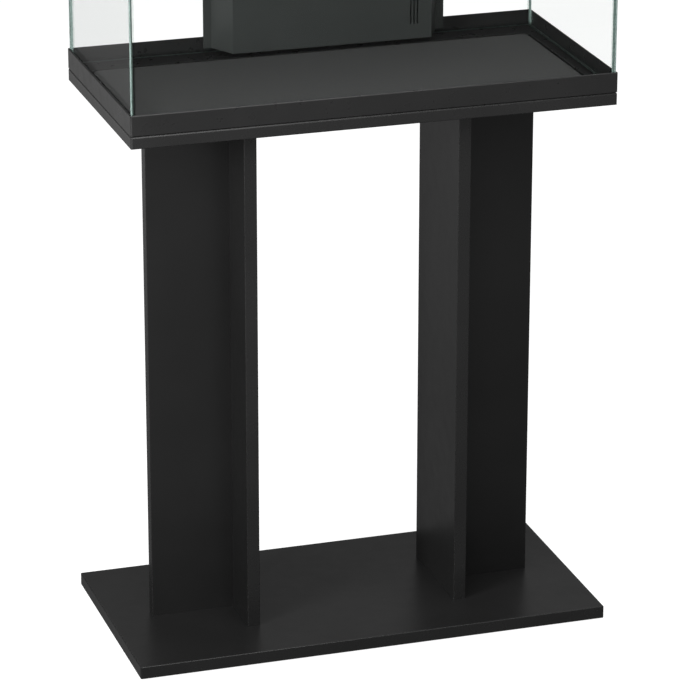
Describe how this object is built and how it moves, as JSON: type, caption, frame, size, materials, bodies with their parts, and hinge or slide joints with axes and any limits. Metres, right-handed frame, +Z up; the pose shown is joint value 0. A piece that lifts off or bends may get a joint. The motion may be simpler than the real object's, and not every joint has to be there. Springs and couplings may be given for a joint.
{
  "type": "aquarium on stand",
  "caption": "Rectangular glass aquarium with hood and corner-set filter box, on an open black stand of two boards joined by T-shaped columns.",
  "frame": {"origin": "on the floor, under the middle of the stand", "axes": "+X to the viewer's right, +Y to the back, +Z up"},
  "size_m": [0.61, 0.305, 1.1],
  "materials": {
    "board": "black melamine-faced particle board, satin",
    "edge_band": "black plastic edge band, satin",
    "zinc": "zinc die casting",
    "steel": "zinc-plated steel",
    "cap": "black plastic cap",
    "beech": "plain beech",
    "glide": "hard rubber",
    "foam": "dark grey closed-cell foam",
    "frame_plastic": "black satin moulded plastic",
    "glass": "clear float glass, ground edges",
    "silicone": "clear silicone sealant",
    "black_silicone": "black silicone sealant",
    "filter_plastic": "dark grey-green satin plastic",
    "pump_plastic": "black glossy plastic",
    "foot_rubber": "black rubber",
    "rotor": "ivory plastic over magnet",
    "ceramic": "white ceramic",
    "blue_sponge": "open-cell blue foam",
    "white_sponge": "white filter fleece",
    "heater_glass": "borosilicate glass",
    "element": "wire on mica",
    "dial": "red plastic dial",
    "aluminium": "anodised extrusion",
    "circuit": "white solder mask",
    "phosphor": "yellow phosphor",
    "diffuser": "frosted plastic"
  },
  "bodies": {
    "body": {"base_board": "board", "base_edge_band": "edge_band", "top_board": "board", "top_edge_band": "edge_band", "left_flange": "board", "right_flange": "board", "left_web": "board", "right_web": "board", "column_edge_bands": "edge_band", "cam_locks": "zinc", "cam_bolts": "steel", "cam_caps": "cap", "dowels": "beech", "glides": "glide", "base_mat": "foam", "tray_frame": "frame_plastic", "bottom_pane": "glass", "front_pane": "glass", "back_pane": "glass", "left_pane": "glass", "right_pane": "glass", "corner_seals": "silicone", "floor_seals": "silicone", "filter_box": "filter_plastic", "filter_dividers": "filter_plastic", "filter_beads": "black_silicone", "pump_body": "pump_plastic", "pump_cover": "pump_plastic", "pump_feet": "foot_rubber", "impeller_shaft": "ceramic", "outlet_pipe": "pump_plastic", "coarse_sponge": "blue_sponge", "fine_sponge": "white_sponge", "heater_tube": "heater_glass", "heater_element": "element", "heater_cap": "pump_plastic", "heater_clips": "foot_rubber", "hood_frame": "frame_plastic", "hood_bridge": "frame_plastic", "hinge_pins": "steel", "led_housing": "aluminium", "led_strip": "circuit", "led_chips": "phosphor", "led_diffuser": "diffuser", "led_end_caps": "cap", "led_clips": "cap"},
    "front_flap": {"front_flap": "frame_plastic"},
    "rear_flap": {"rear_flap": "frame_plastic"},
    "filter_lid": {"filter_lid": "filter_plastic"},
    "impeller": {"impeller": "rotor"},
    "nozzle": {"nozzle": "pump_plastic"},
    "heater_dial": {"heater_dial": "dial"}
  },
  "joints": [
    {"name": "front_flap_hinge", "type": "hinge", "parent": "body", "child": "front_flap", "pos_m": [0, 0.0172, 1.095], "axis": [-1, 0, 0], "range_deg": [0, 95]},
    {"name": "rear_flap_hinge", "type": "hinge", "parent": "body", "child": "rear_flap", "pos_m": [0, 0.0728, 1.095], "axis": [1, 0, 0], "range_deg": [0, 95]},
    {"name": "filter_lid_lift", "type": "slide", "parent": "body", "child": "filter_lid", "axis": [0, 0, 1], "range_m": [0, 0.035]},
    {"name": "impeller_spin", "type": "hinge", "parent": "body", "child": "impeller", "pos_m": [-0.062, 0.127, 0.7385], "axis": [1, 0, 0], "continuous": true},
    {"name": "nozzle_swivel", "type": "hinge", "parent": "body", "child": "nozzle", "pos_m": [-0.053, 0.127, 1], "axis": [0, 0, 1], "range_deg": [-30, 30]},
    {"name": "heater_dial_turn", "type": "hinge", "parent": "body", "child": "heater_dial", "pos_m": [0.117, 0.127, 0.955], "axis": [0, 0, 1], "range_deg": [-135, 135]}
  ]
}
